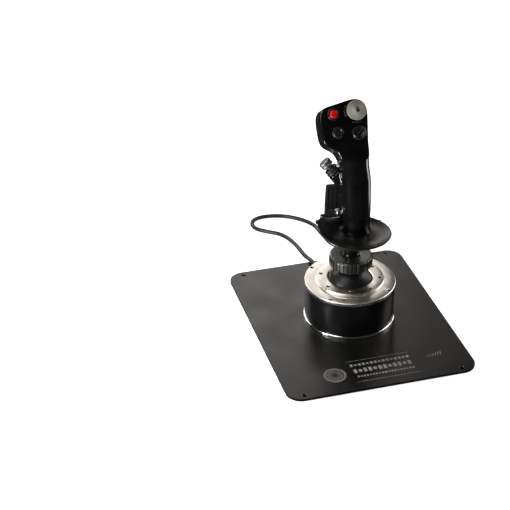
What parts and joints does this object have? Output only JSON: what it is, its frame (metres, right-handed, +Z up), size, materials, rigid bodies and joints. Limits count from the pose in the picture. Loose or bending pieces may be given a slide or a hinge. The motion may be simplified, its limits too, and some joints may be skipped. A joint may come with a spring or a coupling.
{
  "type": "flight joystick",
  "caption": "Desk flight joystick: steel base plate, round gimbal drum and a tall grip with thumb hats, push buttons, trigger, paddle and a USB cord.",
  "frame": {"origin": "on the resting surface under the middle of the base plate", "axes": "+X to the pilot's right, +Y away from the pilot, +Z up"},
  "size_m": [0.226, 0.3986, 0.2889],
  "materials": {
    "satin_black_steel": "satin powder coat",
    "rubber": "matt",
    "polished_metal": "polished",
    "gloss_black": "high gloss",
    "brushed_aluminium": "fine turned and brushed",
    "dark_steel": "dark satin",
    "brass": "turned",
    "bright_steel": "ground",
    "circuit_board": "solder mask",
    "cord_jacket": "satin",
    "hat_black": "satin",
    "grip_black": "semi-gloss",
    "palm_rest_black": "soft semi-gloss",
    "trim_grey": "satin",
    "light_grey_metal": "satin",
    "red_plastic": "gloss"
  },
  "bodies": {
    "base": {"base_plate": "satin_black_steel", "foot_front_left": "rubber", "foot_front_right": "rubber", "foot_rear_left": "rubber", "foot_rear_right": "rubber", "drum_foot_ring": "polished_metal", "drum_shell": "gloss_black", "top_ring": "brushed_aluminium", "top_ring_screw_1": "dark_steel", "top_ring_screw_2": "dark_steel", "top_ring_screw_3": "dark_steel", "top_ring_screw_4": "dark_steel", "retaining_ring": "brushed_aluminium", "gimbal_frame": "dark_steel", "pitch_bush_left": "brass", "pitch_bush_right": "brass", "centring_spring": "bright_steel", "spring_plate": "dark_steel", "sensor_board": "circuit_board", "main_board": "circuit_board", "cable_gland": "rubber", "cord_run": "cord_jacket", "cord_coil": "cord_jacket", "cord_tie": "hat_black", "usb_plug": "cord_jacket", "usb_shell": "polished_metal"},
    "gimbal": {"gimbal_ring": "bright_steel"},
    "stick": {"stick_shaft": "bright_steel", "roll_pin": "bright_steel", "sensor_magnet": "dark_steel", "ball_dome": "gloss_black", "thread_boss": "bright_steel", "grip_neck": "grip_black", "palm_rest": "palm_rest_black", "grip_left_shell": "grip_black", "grip_right_shell": "grip_black", "head_cover": "grip_black", "grip_board": "circuit_board", "release_bezel": "hat_black", "thumb_hat_boss": "hat_black", "trigger_pin": "bright_steel", "paddle_pin": "bright_steel", "paddle_bracket": "grip_black"},
    "collar": {"collar_nut": "dark_steel"},
    "trim_rocker": {"trim_hat_rocker": "bright_steel"},
    "trim_cap": {"trim_hat_cap": "trim_grey"},
    "left_rocker": {"left_hat_rocker": "bright_steel"},
    "left_cap": {"left_hat_cap": "hat_black"},
    "right_rocker": {"right_hat_rocker": "bright_steel"},
    "right_cap": {"right_hat_cap": "hat_black"},
    "thumb_plunger": {"thumb_hat_plunger": "bright_steel"},
    "thumb_rocker": {"thumb_hat_rocker": "bright_steel"},
    "thumb_cap": {"thumb_hat_cap": "light_grey_metal"},
    "release": {"release_button": "red_plastic"},
    "mode": {"mode_button": "bright_steel"},
    "steering": {"steering_button": "bright_steel"},
    "trigger": {"trigger": "hat_black"},
    "paddle": {"paddle_lever": "hat_black"}
  },
  "joints": [
    {"name": "stick_pitch", "type": "hinge", "parent": "base", "child": "gimbal", "pos_m": [0.005, 0.0107, 0.046], "axis": [1, 0, 0], "range_deg": [-18, 18], "stiffness_Nm_per_rad": 4},
    {"name": "stick_roll", "type": "hinge", "parent": "gimbal", "child": "stick", "pos_m": [0.005, 0.0107, 0.046], "axis": [0, 1, 0], "range_deg": [-18, 18], "stiffness_Nm_per_rad": 4},
    {"name": "collar_turn", "type": "hinge", "parent": "stick", "child": "collar", "pos_m": [0.005, 0.0107, 0.082], "axis": [0, 0, 1], "continuous": true},
    {"name": "trim_hat_fore_aft", "type": "hinge", "parent": "stick", "child": "trim_rocker", "pos_m": [0.00376, 0.01174, 0.27528], "axis": [0.9902, -0.1394, 0.0001], "range_deg": [-7, 7], "stiffness_Nm_per_rad": 0.15},
    {"name": "trim_hat_left_right", "type": "hinge", "parent": "trim_rocker", "child": "trim_cap", "pos_m": [0.00376, 0.01174, 0.27528], "axis": [0.0758, 0.5394, 0.8387], "range_deg": [-7, 7], "stiffness_Nm_per_rad": 0.15},
    {"name": "left_hat_fore_aft", "type": "hinge", "parent": "stick", "child": "left_rocker", "pos_m": [-0.02033, 0.00204, 0.25531], "axis": [0.9902, -0.1394, 0.0001], "range_deg": [-7, 7], "stiffness_Nm_per_rad": 0.15},
    {"name": "left_hat_left_right", "type": "hinge", "parent": "left_rocker", "child": "left_cap", "pos_m": [-0.02033, 0.00204, 0.25531], "axis": [0.0758, 0.5394, 0.8387], "range_deg": [-7, 7], "stiffness_Nm_per_rad": 0.15},
    {"name": "right_hat_fore_aft", "type": "hinge", "parent": "stick", "child": "right_rocker", "pos_m": [0.00315, -0.00193, 0.25431], "axis": [0.9902, -0.1394, 0.0001], "range_deg": [-6, 6], "stiffness_Nm_per_rad": 0.15},
    {"name": "right_hat_left_right", "type": "hinge", "parent": "right_rocker", "child": "right_cap", "pos_m": [0.00315, -0.00193, 0.25431], "axis": [0.0758, 0.5394, 0.8387], "range_deg": [-6, 6], "stiffness_Nm_per_rad": 0.15},
    {"name": "thumb_hat_push", "type": "slide", "parent": "stick", "child": "thumb_plunger", "axis": [0.6222, -0.3011, -0.7226], "range_m": [0, 0.0015], "stiffness_N_per_m": 900},
    {"name": "thumb_hat_fore_aft", "type": "hinge", "parent": "thumb_plunger", "child": "thumb_rocker", "pos_m": [-0.02046, 0.02026, 0.20215], "axis": [-0.7578, 0, -0.6525], "range_deg": [-7, 7], "stiffness_Nm_per_rad": 0.15},
    {"name": "thumb_hat_up_down", "type": "hinge", "parent": "thumb_rocker", "child": "thumb_cap", "pos_m": [-0.02046, 0.02026, 0.20215], "axis": [-0.1965, -0.9536, 0.2282], "range_deg": [-7, 7], "stiffness_Nm_per_rad": 0.15},
    {"name": "release_press", "type": "slide", "parent": "stick", "child": "release", "axis": [0.1169, 0.8305, -0.5447], "range_m": [0, 0.0018], "stiffness_N_per_m": 600},
    {"name": "mode_press", "type": "slide", "parent": "stick", "child": "mode", "axis": [0.9842, 0.1772, 0], "range_m": [0, 0.0012], "stiffness_N_per_m": 600},
    {"name": "steering_press", "type": "slide", "parent": "stick", "child": "steering", "axis": [0.9842, 0.1772, 0], "range_m": [0, 0.002], "stiffness_N_per_m": 600},
    {"name": "trigger_pull", "type": "hinge", "parent": "stick", "child": "trigger", "pos_m": [0.002, 0.0407, 0.24], "axis": [-1, 0, 0], "range_deg": [0, 12], "stiffness_Nm_per_rad": 0.6},
    {"name": "paddle_squeeze", "type": "hinge", "parent": "stick", "child": "paddle", "pos_m": [-0.0055, 0.0422, 0.1265], "axis": [1, 0, 0], "range_deg": [0, 4], "stiffness_Nm_per_rad": 0.6}
  ]
}
